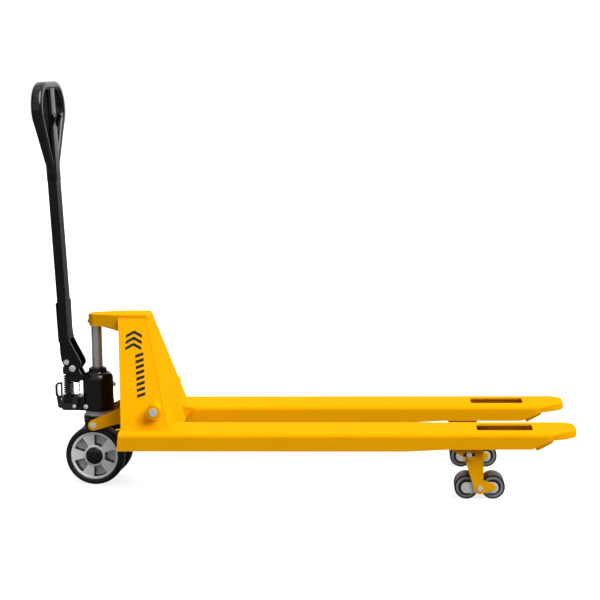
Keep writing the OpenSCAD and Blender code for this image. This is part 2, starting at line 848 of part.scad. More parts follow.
// Rocker: cross tube in the housing's bosses, two arms back to the seat, two torsion levers down
module rocker() {
    color(yellow) placed() difference() {
        union() {
            tube_y_axis(pivot_x, 0, pivot_z, rocker_r, 14, 2 * (rod_y + 16));
            for (side = [-1, 1]) {
                rod_y_axis(pivot_x, side * (rod_y + 16 - 20), pivot_z, 14, 40);
                across(side * (arm_y + arm_t / 2), arm_t) {
                    strap(rear_pin_x, rear_pin_z, 15.5, pivot_x - 85, pivot_z - 28, 24);
                    strap(pivot_x - 85, pivot_z - 28, 24, pivot_x, pivot_z, rocker_r);
                }
                for (w = [-1, 1]) across(side * rod_y + w * (rod_end_t / 2 + 2 + clevis_t / 2), clevis_t) {
                    strap(pivot_x, pivot_z, rocker_r, lever_foot_x, lever_foot_z, 14);
                }
                rod_y_axis(lever_foot_x, side * rod_y, lever_foot_z, rod_pin_r, rod_end_t + 2 * clevis_t);
            }
        }
        for (side = [-1, 1]) {
            rod_y_axis(rear_pin_x, side * (arm_y + arm_t / 2), rear_pin_z, rear_pin_r + 0.05, 2 * arm_t);
            rod_y_axis(pivot_x, side * (rod_y + 16), pivot_z, pivot_d / 2 + 0.05, 60);
        }
    }
}

// Pins of the rocker: two in the housing's bosses, two under the seat's lugs
module rocker_pins() {
    color(steel) placed() for (side = [-1, 1]) {
        rod_y_axis(pivot_x, side * (boss_out + 3 + rod_y - 10) / 2, pivot_z, pivot_d / 2,
            boss_out + 3 - rod_y + 10);
        rod_y_axis(rear_pin_x, side * (arm_y + arm_t / 2 - 2.5), rear_pin_z, rear_pin_r, arm_t + 9);
    }
}

// Leg: two cheeks from the fork's pivot to the bogie's pin, and the crank that the push rod works
module leg(side) {
    color(yellow) placed() difference() {
        union() {
            for (w = [-1, 1]) across(side * fork_y + w * (leg_cheek_y + leg_cheek_t / 2), leg_cheek_t) {
                translate([leg_x, leg_z]) circle(r = 17);
                translate([bogie_x, bogie_z]) circle(r = 16.5);
                translate([toe_x, toe_z]) circle(r = toe_r);
                polygon([
                    [leg_x - 4, leg_z + 16.5], [914, leg_z + 22], [914, 58], [toe_x + 2, toe_z + toe_r - 0.3],
                    [toe_x, toe_z - toe_r],
                    [bogie_x, bogie_z - 16.5], [bogie_x - 16.5, bogie_z], [leg_x - 16.5, leg_z]
                ]);
            }
            tube_y_axis(leg_x, side * fork_y, leg_z, 16, leg_pin_d / 2 + run, 2 * leg_cheek_y + 2);
            rod_y_axis(901, side * fork_y, leg_z - 6, 9, 2 * leg_cheek_y + 2);
            for (w = [-1, 1]) across(side * rod_y + w * (rod_end_t / 2 + 2 + 3), 6) {
                strap(leg_x, leg_z, 16, crank_x, crank_z, 13);
            }
            rod_y_axis(crank_x, side * rod_y, crank_z, rod_pin_r, rod_end_t + 12);
        }
        rod_y_axis(leg_x, side * fork_y, leg_z, leg_pin_d / 2 + run, fork_w);
        rod_y_axis(bogie_x, side * fork_y, bogie_z, bogie_pin_d / 2 + run, fork_w);
    }
}

// Nuts and bolts that the legs hang on
module leg_nuts() {
    color(steel) placed() for (side = [-1, 1]) {
        rod_y_axis(leg_x, side * fork_y, leg_z, leg_pin_d / 2, 2 * (bracket_y + bracket_t));
        for (w = [-1, 1]) {
            across(side * fork_y + w * (bracket_y + bracket_t + 3), 6) {
                translate([leg_x, leg_z]) circle(r = 10.5, $fn = 6);
            }
        }
    }
}

// Bogie: two side plates, its pin in the leg and its two roller axles
module bogie(side) {
    color(steel) placed() {
        for (w = [-1, 1]) {
            across(side * fork_y + w * (bogie_plate_y + bogie_plate_t / 2), bogie_plate_t) {
                strap(bogie_x - roller_gap / 2, bogie_z, 16, bogie_x + roller_gap / 2, bogie_z, 16);
            }
            for (v = [-1, 1]) {
                head_y = side * fork_y + w * (bogie_plate_y + 6.3);
                rod_y_axis(bogie_x + v * roller_gap / 2, head_y, bogie_z, 8, 1);
            }
        }
        for (v = [-1, 1]) {
            rod_y_axis(bogie_x + v * roller_gap / 2, side * fork_y, bogie_z, 8, 2 * bogie_plate_y + 2);
        }
        for (w = [-1, 1]) {
            end_y = side * fork_y + w * (leg_cheek_y + leg_cheek_t + 1.5);
            rod_y_axis(bogie_x, side * fork_y + w * (bogie_plate_y + 9), bogie_z, bogie_pin_d / 2, 18);
            rod_y_axis(bogie_x, end_y, bogie_z, bogie_pin_d / 2 - 1, 2);
        }
    }
}

module load_roller(side, v) {
    color(urethane) placed() {
        wheel_at(bogie_x + v * roller_gap / 2, side * fork_y, bogie_z) rotate_extrude() {
            wheel_ring(8 + run, roller_d / 2, roller_w, 3);
        }
    }
}

// Push rod from a torsion lever to a leg's crank, with an upright slot at each end
module push_rod(side) {
    play = 1.8;
    rise = 6;
    bar_z = fork_top - 38;
    color(steel) placed() difference() {
        union() {
            across(side * rod_y, rod_end_t) {
                strap(lever_foot_x, lever_foot_z - 2, 18, lever_foot_x + 60, bar_z, 11);
                strap(crank_x, crank_z + 4, 19, crank_x - 40, bar_z, 11);
            }
            translate([lever_foot_x + 50, side * rod_y, bar_z]) rotate([0, 90, 0]) {
                cylinder(r = 9, h = crank_x - lever_foot_x - 85);
            }
        }
        for (end = [[lever_foot_x, lever_foot_z - 2], [crank_x, crank_z + 5]]) {
            translate([end[0], side * rod_y, end[1]]) {
                cube([2 * (rod_pin_r + play), 2 * rod_end_t, 2 * (rod_pin_r + rise)], center = true);
            }
        }
    }
}

seat_bracket();
lower_race();
fork(1);  // fork_left
fork(-1);  // fork_right
heel(1);  // heel_left
heel(-1);  // heel_right
side_plate(1);  // side_plate_left
side_plate(-1);  // side_plate_right
front_plate();
head_bracket();
boss(1);  // boss_left
boss(-1);  // boss_right
leg_bracket(1);  // leg_bracket_left
leg_bracket(-1);  // leg_bracket_right
entry_skid(1);  // entry_skid_left
entry_skid(-1);  // entry_skid_right
piston_rod();
ram_screw();
rocker();
rocker_pins();
pump_body();
pump_base();
gland_nut();
wiper_ring();
upper_race();
thrust_balls();
axle_carrier();
wheel_axle();
filler_plug();
pump_bolts();
handle_pivot_pins();
pull_chain();
plunger();
plunger_spring();
steer_rim(1);  // steer_rim_left
steer_rim(-1);  // steer_rim_right
steer_tyre(1);  // steer_tyre_left
steer_tyre(-1);  // steer_tyre_right
hub_cap(1);  // hub_cap_left
hub_cap(-1);  // hub_cap_right
handle_bracket();
handle_tube();
handle_loop();
pull_rod();
roller_axle();
press_roller();
control_lever();
release_lever();
leg(1);  // leg_left
leg(-1);  // leg_right
bogie(1);  // bogie_left
bogie(-1);  // bogie_right
load_roller(1, -1);  // load_roller_left_rear
load_roller(1, 1);  // load_roller_left_front
load_roller(-1, -1);  // load_roller_right_rear
load_roller(-1, 1);  // load_roller_right_front
push_rod(1);  // push_rod_left
push_rod(-1);  // push_rod_right
leg_nuts();
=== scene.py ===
"""Looks of the hand pallet jack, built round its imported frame.

Lengths are in metres and angles in radians unless a name says otherwise. X runs from the handle to the
fork tips, Y across the forks, Z up from the floor.
"""
import json
import math

import bmesh
import bpy
from mathutils import Matrix, Vector

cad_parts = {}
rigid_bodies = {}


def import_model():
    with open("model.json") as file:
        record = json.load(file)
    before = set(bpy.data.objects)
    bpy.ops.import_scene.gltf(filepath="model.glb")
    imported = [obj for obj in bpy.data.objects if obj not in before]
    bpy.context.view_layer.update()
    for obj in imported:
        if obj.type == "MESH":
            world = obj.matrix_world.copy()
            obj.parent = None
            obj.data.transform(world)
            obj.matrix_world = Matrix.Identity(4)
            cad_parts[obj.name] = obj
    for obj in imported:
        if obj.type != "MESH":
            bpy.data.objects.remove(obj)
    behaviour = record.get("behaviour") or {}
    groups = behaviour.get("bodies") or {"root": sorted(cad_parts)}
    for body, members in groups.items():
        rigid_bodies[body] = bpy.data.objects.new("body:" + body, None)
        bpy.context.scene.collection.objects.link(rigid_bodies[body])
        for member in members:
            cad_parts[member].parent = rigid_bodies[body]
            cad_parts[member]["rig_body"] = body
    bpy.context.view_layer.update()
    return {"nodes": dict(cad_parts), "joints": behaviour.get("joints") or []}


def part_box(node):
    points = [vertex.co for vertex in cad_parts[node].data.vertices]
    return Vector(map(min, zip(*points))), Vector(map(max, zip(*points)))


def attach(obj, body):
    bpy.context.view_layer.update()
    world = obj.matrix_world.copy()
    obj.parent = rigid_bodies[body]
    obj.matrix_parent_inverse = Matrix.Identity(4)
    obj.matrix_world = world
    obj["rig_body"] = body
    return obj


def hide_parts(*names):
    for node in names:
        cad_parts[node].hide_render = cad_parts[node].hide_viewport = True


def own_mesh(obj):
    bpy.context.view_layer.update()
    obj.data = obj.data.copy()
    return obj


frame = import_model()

NODES = frame["nodes"]
MM = 0.001
UP = Vector((0, 0, 1))


# ---------------------------------------------------------------- materials

class Shader:
    """A Principled material, with short calls that add nodes to it."""

    def __init__(self, name, **sockets):
        self.material = bpy.data.materials.new(name)
        self.material.use_nodes = True
        self.tree = self.material.node_tree
        self.shader = self.tree.nodes["Principled BSDF"]
        for socket, value in sockets.items():
            self.shader.inputs[socket.replace("_", " ")].default_value = value
        self.place = self.add("ShaderNodeTexCoord").outputs["Object"]

    def add(self, kind, inputs=None, **properties):
        node = self.tree.nodes.new(kind)
        for name, value in properties.items():
            setattr(node, name, value)
        for name, value in (inputs or {}).items():
            if isinstance(value, bpy.types.NodeSocket):
                self.tree.links.new(value, node.inputs[name])
            else:
                node.inputs[name].default_value = value
        return node

    def feed(self, socket, value):
        self.tree.links.new(value, self.shader.inputs[socket])

    def noise(self, scale, detail=3.0, rough=0.5, stretch=(1, 1, 1)):
        """Grey noise with about `scale` cells to the metre."""
        mapping = self.add("ShaderNodeMapping", {"Vector": self.place, "Scale": stretch})
        return self.add("ShaderNodeTexNoise", {
            "Vector": mapping.outputs[0], "Scale": scale, "Detail": detail, "Roughness": rough,
        }).outputs["Fac"]

    def remap(self, value, low, high, new_low, new_high):
        return self.add("ShaderNodeMapRange", {
            "Value": value, "From Min": low, "From Max": high, "To Min": new_low, "To Max": new_high,
        }).outputs[0]

    def times(self, a, b):
        return self.add("ShaderNodeMath", {0: a, 1: b}, operation="MULTIPLY").outputs[0]

    def blend(self, factor, a, b):
        """Colour a where factor is 0 and colour b where it is 1."""
        node = self.add("ShaderNodeMix", data_type="RGBA")
        for socket, value in ((node.inputs[0], factor), (node.inputs[6], a), (node.inputs[7], b)):
            if isinstance(value, bpy.types.NodeSocket):
                self.tree.links.new(value, socket)
            else:
                socket.default_value = value
        return node.outputs[2]

    def edges(self, radius):
        """1 along sharp edges and 0 on flats."""
        soft = self.add("ShaderNodeBevel", {"Radius": radius}, samples=4).outputs[0]
        hard = self.add("ShaderNodeNewGeometry").outputs["Normal"]
        dot = self.add("ShaderNodeVectorMath", {0: soft, 1: hard}, operation="DOT_PRODUCT")
        return self.remap(dot.outputs["Value"], 0.995, 0.85, 0.0, 1.0)

    def worn_edges(self, radius, amount, scale=140):
        """Edge mask broken up by noise, so that only some stretches of an edge are rubbed."""
        patches = self.remap(self.noise(scale, 4, 0.6), 0.5, 0.62, 0.0, amount)
        return self.times(self.edges(radius), patches)

    def bump(self, height, distance, strength=1.0):
        node = self.add("ShaderNodeBump", {"Height": height, "Distance": distance, "Strength": strength})
        self.feed("Normal", node.outputs[0])


def grey(value):
    return (value, value, value, 1)


def powder_coat():
    """Yellow powder coat: orange peel, slight thinning of the colour and rubbed edges."""
    m = Shader("powder_coat_yellow", Specular_IOR_Level=0.001)
    body = m.blend(m.noise(7, 2), (0.79, 0.345, 0.0012, 1), (0.82, 0.368, 0.0018, 1))
    rubbed = m.worn_edges(0.0015, 0.5)
    m.feed("Base Color", m.blend(rubbed, body, (0.88, 0.48, 0.02, 1)))
    m.feed("Roughness", m.remap(m.noise(60, 3), 0.3, 0.7, 0.46, 0.58))
    m.bump(m.noise(420, 2), 0.00012, 0.5)
    return m.material


def black_enamel():
    """Satin black enamel on cast and welded steel."""
    m = Shader("satin_black_enamel", Specular_IOR_Level=0.38)
    rubbed = m.worn_edges(0.0012, 0.6)
    body = m.blend(m.noise(30, 3), grey(0.0012), grey(0.0028))
    m.feed("Base Color", m.blend(rubbed, body, grey(0.10)))
    m.feed("Roughness", m.remap(m.noise(90, 3), 0.3, 0.7, 0.17, 0.25))
    m.bump(m.noise(600, 2), 0.0001, 0.5)
    return m.material


def cast_enamel():
    """Gloss black on the rough casting of the pump."""
    m = Shader("gloss_black_casting", Specular_IOR_Level=0.5)
    body = m.blend(m.noise(40, 3), grey(0.001), grey(0.003))
    m.feed("Base Color", m.blend(m.worn_edges(0.001, 0.5), body, grey(0.10)))
    m.feed("Roughness", m.remap(m.noise(70, 3), 0.3, 0.7, 0.12, 0.26))
    m.bump(m.noise(260, 4, 0.6), 0.0003, 0.45)
    return m.material


def moulded_plastic():
    """Glossy black moulded grip."""
    m = Shader("moulded_black_grip", Specular_IOR_Level=0.5)
    m.feed("Base Color", m.blend(m.noise(25, 2), grey(0.001), grey(0.0025)))
    m.feed("Roughness", m.remap(m.noise(45, 3), 0.3, 0.7, 0.15, 0.22))
    m.bump(m.noise(900, 2), 0.00006, 0.5)
    return m.material


def metal(name, colour, rough, streak=(1, 1, 1), scale=160, depth=0.00005, metallic=1.0):
    """Bare or plated metal whose fine marks run along the axis with the smallest stretch."""
    m = Shader(name, Metallic=metallic)
    marks = m.noise(scale, 4, 0.6, streak)
    dark = tuple(0.82 * c for c in colour[:3]) + (1,)
    m.feed("Base Color", m.blend(m.noise(35, 3), dark, colour))
    m.feed("Roughness", m.remap(marks, 0.3, 0.7, rough - 0.07, rough + 0.09))
    m.bump(marks, depth, 0.6)
    return m.material


def rubber(name, value, rough, gloss=0.4):
    m = Shader(name, Specular_IOR_Level=gloss)
    m.feed("Base Color", m.blend(m.noise(50, 4), grey(0.8 * value), grey(1.3 * value)))
    m.feed("Roughness", m.remap(m.noise(120, 4), 0.3, 0.7, rough - 0.08, rough + 0.1))
    m.bump(m.noise(700, 3), 0.00012, 0.5)
    return m.material


def vinyl():
    """Matt black sticker film, slightly uneven in gloss."""
    m = Shader("black_vinyl_film", Specular_IOR_Level=0.3)
    m.feed("Base Color", m.blend(m.noise(80, 2), grey(0.003), grey(0.006)))
    m.feed("Roughness", m.remap(m.noise(60, 3), 0.3, 0.7, 0.45, 0.6))
    m.bump(m.noise(500, 2), 0.00003, 0.4)
    return m.material


PAINT = powder_coat()
ENAMEL = black_enamel()
CASTING = cast_enamel()
GRIP = moulded_plastic()
VINYL = vinyl()
CHROME = metal("hard_chrome", (0.80, 0.80, 0.81, 1), 0.16, (1, 1, 30), 60, 0.00001, 0.85)
STEEL = metal("bright_turned_steel", (0.74, 0.74, 0.74, 1), 0.34, (1, 8, 1), metallic=0.45)
ZINC = metal("zinc_plated_steel", (0.76, 0.76, 0.75, 1), 0.4, metallic=0.35)
ALLOY = metal("machined_cast_alloy", (0.92, 0.92, 0.93, 1), 0.42, (1, 1, 1), 220, metallic=0.1)
# Near-black lining for the walls of the rims' pockets: painted shade standing for the shadow inside the
# deep pockets.
POCKET_PAINTED_SHADE = metal("pocket_wall_painted_shade", (0.05, 0.05, 0.05, 1), 0.5, (1, 1, 1), 150, 0.0002, 0.4)
DARK_STEEL = metal("oiled_dark_steel", (0.06, 0.06, 0.06, 1), 0.3, metallic=0.8)
TYRE = rubber("tyre_rubber_black", 0.003, 0.42)
SEAL = rubber("seal_rubber_black", 0.008, 0.4)
TREAD = rubber("roller_urethane_dark", 0.004, 0.32, 0.35)
CORE = rubber("roller_core_grey", 0.21, 0.4)

FINISH = {
    "yellow_paint": PAINT, "black_paint": ENAMEL, "ram_chrome": CHROME, "bright_steel": STEEL,
    "zinc_steel": ZINC, "seal_rubber": SEAL, "tyre_rubber": TYRE, "cast_alloy": ALLOY,
    "black_plastic": GRIP, "roller_urethane": TREAD,
}


# ---------------------------------------------------------------- pieces

JOINT = {joint["name"]: joint for joint in frame["joints"]}
SIDES = {"left": 1, "right": -1}
REPLACED = set()


def joint_at(name):
    return Vector(JOINT[name]["pos_m"])


def joint_axis(name):
    return Vector(JOINT[name]["axis"]).normalized()


def middle(node):
    low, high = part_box(node)
    return (Vector(low) + Vector(high)) / 2


# The steered assembly rests slightly turned, so its pieces are placed along its own axes
STEER_Y = joint_axis("wheel_spin_left")
STEER_X = STEER_Y.cross(UP)


def axes(origin, z_axis, x_axis=None):
    """Placement whose Z runs along z_axis and whose X is as near x_axis as it can be."""
    z = Vector(z_axis).normalized()
    level = UP if abs(z.z) < 0.9 else Vector((1, 0, 0))
    hint = level if x_axis is None else Vector(x_axis)
    x = (hint - hint.dot(z) * z).normalized()
    turn = Matrix((x, z.cross(x), z)).transposed()
    return Matrix.Translation(Vector(origin)) @ turn.to_4x4()


def body_of(node):
    return NODES[node]["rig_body"]


def slot_of(node):
    return NODES[node].data.materials[0].name


def piece(name, mesh, material, body):
    """Adds a mesh as a piece that rides on a body."""
    mesh.materials.clear()
    mesh.materials.append(material)
    obj = bpy.data.objects.new(name, mesh)
    bpy.context.scene.collection.objects.link(obj)
    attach(obj, body)
    return obj


def mesh_from(bm, name):
    bmesh.ops.recalc_face_normals(bm, faces=bm.faces)
    mesh = bpy.data.meshes.new(name)
    bm.to_mesh(mesh)
    bm.free()
    return mesh


def smooth(mesh, angle=math.radians(32)):
    mesh.shade_smooth()
    mesh.set_sharp_from_angle(angle=angle)


def stand_for(node):
    """Shows a piece in place of a CAD node."""
    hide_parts(node)
    REPLACED.add(node)


def add_piece(name, mesh, material, node, replaces=False):
    """Adds a finished mesh that rides on the body of a CAD node, and may stand for the node."""
    smooth(mesh)
    obj = piece(name, mesh, material, body_of(node))
    if replaces:
        stand_for(node)
    return obj


MERGE_DISTANCE = 0.002 * MM
FLAT_ANGLE = math.radians(0.6)
EDGE_ANGLE = math.radians(28)
CORNER_ANGLE = math.radians(35)


def dressed(node, bevel=0.8 * MM, material=None, segments=2):
    """Stands a copy of a CAD node with rounded edges in place of the node."""
    bm = bmesh.new()
    bm.from_mesh(NODES[node].data)
    bmesh.ops.remove_doubles(bm, verts=bm.verts, dist=MERGE_DISTANCE)
    bmesh.ops.dissolve_limit(bm, angle_limit=FLAT_ANGLE, verts=bm.verts, edges=bm.edges)
    sharp = [e for e in bm.edges if len(e.link_faces) == 2 and e.calc_face_angle() > EDGE_ANGLE]
    bmesh.ops.bevel(bm, geom=sharp, offset=bevel, segments=segments, profile=0.5, affect="EDGES",
                    clamp_overlap=True)
    mesh = bpy.data.meshes.new(node + "_shape")
    bm.to_mesh(mesh)
    bm.free()
    obj = add_piece(node + "_finished", mesh, material or FINISH[slot_of(node)], node, True)
    flats = obj.modifiers.new("flats", "WEIGHTED_NORMAL")
    flats.keep_sharp = True


def lathe(profile, place, steps=64):
    """Turns an outline of (radius, height) points about the placement's Z. A radius of 0 closes an end."""
    bm = bmesh.new()
    rings = []
    for radius, height in profile:
        if radius <= 0:
            rings.append([bm.verts.new(place @ Vector((0, 0, height)))])
            continue
        turns = [2 * math.pi * i / steps for i in range(steps)]
        rings.append([bm.verts.new(place @ Vector((radius * math.cos(a), radius * math.sin(a), height)))
                      for a in turns])
    closed = len(rings[0]) > 1 and len(rings[-1]) > 1
    pairs = list(zip(rings, rings[1:])) + ([(rings[-1], rings[0])] if closed else [])
    for first, second in pairs:
        for i in range(steps):
            k = (i + 1) % steps
            corners = [first[i % len(first)], first[k % len(first)], second[k % len(second)],
                       second[i % len(second)]]
            corners = list(dict.fromkeys(corners))
            bm.faces.new(corners)
    return mesh_from(bm, "lathed")


def mirrored(half):
    """Closed outline in metres from its upper half, given as (radius, height) points in millimetres."""
    upper = [(r * MM, h * MM) for r, h in half]
    return upper + [(r, -h) for r, h in reversed(upper[:-1])]


def rounded_box_section(width, depth, radius, steps=5):
    """Outline of a rectangle with round corners, as (across, up) pairs."""
    points = []
    for cx, cy, start in ((1, 1, 0), (-1, 1, 90), (-1, -1, 180), (1, -1, 270)):
        for i in range(steps + 1):
            a = math.radians(start + 90 * i / steps)
            points.append((cx * (width / 2 - radius) + radius * math.cos(a),
                           cy * (depth / 2 - radius) + radius * math.sin(a)))
    return points


def round_section(radius, steps=12):
    return [(radius * math.cos(2 * math.pi * i / steps), radius * math.sin(2 * math.pi * i / steps))
            for i in range(steps)]


def sweep(path, section, up, closed=False, scale=None):
    """Carries a section of (across, up) points along a path. `scale` gives a size for each path point."""
    bm = bmesh.new()
    count = len(path)
    rings = []
    for i, point in enumerate(path):
        before = path[i - 1] if closed or i else path[0]
        after = path[(i + 1) % count] if closed or i < count - 1 else path[-1]
        along = (after - before).normalized()
        across = along.cross(up).normalized()
        lift = across.cross(along)
        size = scale[i] if scale else 1.0
        rings.append([bm.verts.new(point + size * (a * across + b * lift)) for a, b in section])
    pairs = list(zip(rings, rings[1:])) + ([(rings[-1], rings[0])] if closed else [])
    for first, second in pairs:
        for i in range(len(section)):
            k = (i + 1) % len(section)
            bm.faces.new((first[i], first[k], second[k], second[i]))
    if not closed:
        bm.faces.new(rings[0])
        bm.faces.new(rings[-1])
    return mesh_from(bm, "swept")


def prism(outline, place, height, bevel=0.0):
    """Plate with the given outline in the placement's XY plane, from its Z = 0 up to height."""
    bm = bmesh.new()
    low = [bm.verts.new(place @ Vector((x, y, 0))) for x, y in outline]
    high = [bm.verts.new(place @ Vector((x, y, height))) for x, y in outline]
    bm.faces.new(low)
    bm.faces.new(high)
    for i in range(len(outline)):
        k = (i + 1) % len(outline)
        bm.faces.new((low[i], low[k], high[k], high[i]))
    if bevel:
        bmesh.ops.recalc_face_normals(bm, faces=bm.faces)
        edges = [e for e in bm.edges if e.calc_face_angle() > CORNER_ANGLE]
        bmesh.ops.bevel(bm, geom=edges, offset=bevel, segments=2, profile=0.5, affect="EDGES")
    return mesh_from(bm, "plate")


def joined(meshes):
    """One mesh from several."""
    bm = bmesh.new()
    for mesh in meshes:
        bm.from_mesh(mesh)
        bpy.data.meshes.remove(mesh)
    out = bpy.data.meshes.new("joined")
    bm.to_mesh(out)
    bm.free()
    return out


def pin_head(centre, outward, radius, height):
    """Domed head of a pin or bolt that stands on a face."""
    edge = 0.25 * height
    return lathe([(0, 0), (radius, 0), (radius, height - 2 * edge), (radius - 0.4 * edge, height - edge),
                  (radius - edge, height - 0.4 * edge), (0.6 * radius, height - 0.1 * edge), (0, height)],
                 axes(centre, outward), 40)


# Handle loop: a ring of rounded bar, narrower towards its foot, on a central spine.
# Heights along the handle are counted from the control lever's shaft.

LOOP_HALF_W = 135 * MM
LOOP_CORNER_R = 80 * MM
LOOP_FOOT_R = 30 * MM
LOOP_CORNER_UP = 74 * MM
LOOP_FOOT_DOWN = 112 * MM
BAR_W = 27 * MM
BAR_D = 34 * MM
BAR_CORNER_R = 11 * MM
BAR_THINNING = 0.32
BAR_THIN_FROM = 64 * MM
SPINE_W = 32 * MM
SPINE_D = 50 * MM
SPINE_CORNER_R = 6 * MM
SPINE_HALF_H = 142 * MM
LEAN = math.radians(2.6)


def handle_place():
    """Placement of the handle: its origin on the lever's shaft, Z up the tube, Y across."""
    up = math.cos(LEAN) * UP - math.sin(LEAN) * STEER_X
    x = math.cos(LEAN) * STEER_X + math.sin(LEAN) * UP
    return axes(joint_at("control_lever_turn"), up, x)


def belt(circles, step_deg=4):
    """Outline of a belt stretched round circles (y, z, radius), given anticlockwise."""
    points = []
    for i, (y, z, r) in enumerate(circles):
        spans = []
        for other in (circles[i - 1], circles[(i + 1) % len(circles)]):
            y2, z2, r2 = other
            distance = math.hypot(y2 - y, z2 - z)
            toward = math.atan2(z2 - z, y2 - y)
            spans.append((toward, math.acos((r - r2) / distance)))
        start = spans[0][0] + spans[0][1]
        end = spans[1][0] - spans[1][1]
        while end < start:
            end += 2 * math.pi
        steps = max(2, int(math.degrees(end - start) / step_deg))
        for k in range(steps + 1):
            a = start + (end - start) * k / steps
            points.append((y + r * math.cos(a), z + r * math.sin(a)))
    return points


def even_steps(points, count):
    """The same closed outline with evenly spaced points."""
    lengths = [math.dist(points[i], points[(i + 1) % len(points)]) for i in range(len(points))]
    total = sum(lengths)
    out = []
    walked = 0.0
    i = 0
    for k in range(count):
        goal = total * k / count
        while walked + lengths[i] < goal:
            walked += lengths[i]
            i += 1
        share = (goal - walked) / lengths[i]
        a, b = points[i], points[(i + 1) % len(points)]
        out.append((a[0] + share * (b[0] - a[0]), a[1] + share * (b[1] - a[1])))
    return out


def handle_loop():
    """Grip ring and its spine. The ring's bar thins from BAR_THIN_FROM down to its foot."""
    place = handle_place()
    reach = LOOP_HALF_W - LOOP_CORNER_R
    inset = BAR_W / 2
    circles = [(0, -LOOP_FOOT_DOWN, LOOP_FOOT_R - inset), (reach, LOOP_CORNER_UP, LOOP_CORNER_R - inset),
               (-reach, LOOP_CORNER_UP, LOOP_CORNER_R - inset)]
    centre_line = even_steps(belt(circles), 160)
    path = [place @ Vector((0, y, z)) for y, z in centre_line]
    depth_axis = place.to_3x3() @ Vector((1, 0, 0))
    shares = [(BAR_THIN_FROM - z) / (BAR_THIN_FROM + LOOP_FOOT_DOWN) for _, z in centre_line]
    taper = [1 - BAR_THINNING * min(1, max(0, share)) for share in shares]
    ring = sweep(path, rounded_box_section(BAR_W, BAR_D, BAR_CORNER_R), depth_axis, True, taper)
    add_piece("grip_ring", ring, GRIP, "handle_loop", True)
    across = place.to_3x3() @ Vector((0, 1, 0))
    chamfer = 1 * MM
    heights = [-SPINE_HALF_H, chamfer - SPINE_HALF_H, SPINE_HALF_H - chamfer, SPINE_HALF_H]
    spine_path = [place @ Vector((0, 0, z)) for z in heights]
    spine = sweep(spine_path, rounded_box_section(SPINE_W, SPINE_D, SPINE_CORNER_R), across,
                  scale=[0.93, 1, 1, 0.93])
    add_piece("grip_spine", spine, GRIP, "handle_loop")


def wheels():
    """Tyres with round shoulders, and the domed caps on the hubs."""
    for side, sign in SIDES.items():
        place = axes(joint_at("wheel_spin_" + side), sign * STEER_Y)
        tyre = [(72.6, 21.8), (74.5, 23.9), (77.5, 24.8), (80, 25), (81, 24.3), (82, 24.8), (85, 24),
                (87.3, 22), (88.9, 19), (89.7, 15), (90, 10), (90, 0)]
        add_piece("tyre_" + side, lathe(mirrored(tyre), place, 96), TYRE, "steer_tyre_" + side, True)
        cap = [(0, 16), (21.9, 16), (21.9, 22.1), (25.6, 22.1), (26.2, 23), (25.6, 24.4), (23.5, 26),
               (19, 27.4), (12, 28.2), (5, 28.45), (0, 28.5)]
        dome = lathe([(r * MM, h * MM) for r, h in cap], place)
        add_piece("hub_dome_" + side, dome, GRIP, "hub_cap_" + side, True)


# Pockets between the spokes of the steer wheels' rims

POCKETS = 5
POCKET_TURN = math.radians(-20)
POCKET_FLOOR = -2 * MM
POCKET_INNER_R = 33 * MM
POCKET_OUTER_R = 64.5 * MM
POCKET_HALF_ANGLE = math.radians(19)
SPOKE_FACE = 19.3 * MM
# Thickness of the dark sheet of painted shade that lines each pocket's walls.
WALL_T = 1.2 * MM


def pocket_outline():
    """Wedge between two spokes, widest at the lip."""
    arc = [POCKET_HALF_ANGLE * (1 - k / 4) for k in range(9)]
    points = [(POCKET_OUTER_R * math.cos(a), POCKET_OUTER_R * math.sin(a)) for a in arc]
    points += [(POCKET_INNER_R * math.cos(a), POCKET_INNER_R * math.sin(a)) for a in reversed(arc)]
    return points


def prism_ring(outline, place, height, wall):
    """Upright wall of about the given thickness just inside an outline."""
    cx = sum(x for x, _ in outline) / len(outline)
    cy = sum(y for _, y in outline) / len(outline)
    reach = max(math.hypot(x - cx, y - cy) for x, y in outline)
    share = 1 - wall / reach
    inner = [(cx + share * (x - cx), cy + share * (y - cy)) for x, y in outline]
    bm = bmesh.new()
    rings = [[bm.verts.new(place @ Vector((x, y, z))) for x, y in line]
             for line, z in ((outline, 0), (outline, height), (inner, height), (inner, 0))]
    for first, second in zip(rings, rings[1:] + rings[:1]):
        for i in range(len(outline)):
            k = (i + 1) % len(outline)
            bm.faces.new((first[i], first[k], second[k], second[i]))
    return mesh_from(bm, "walls")


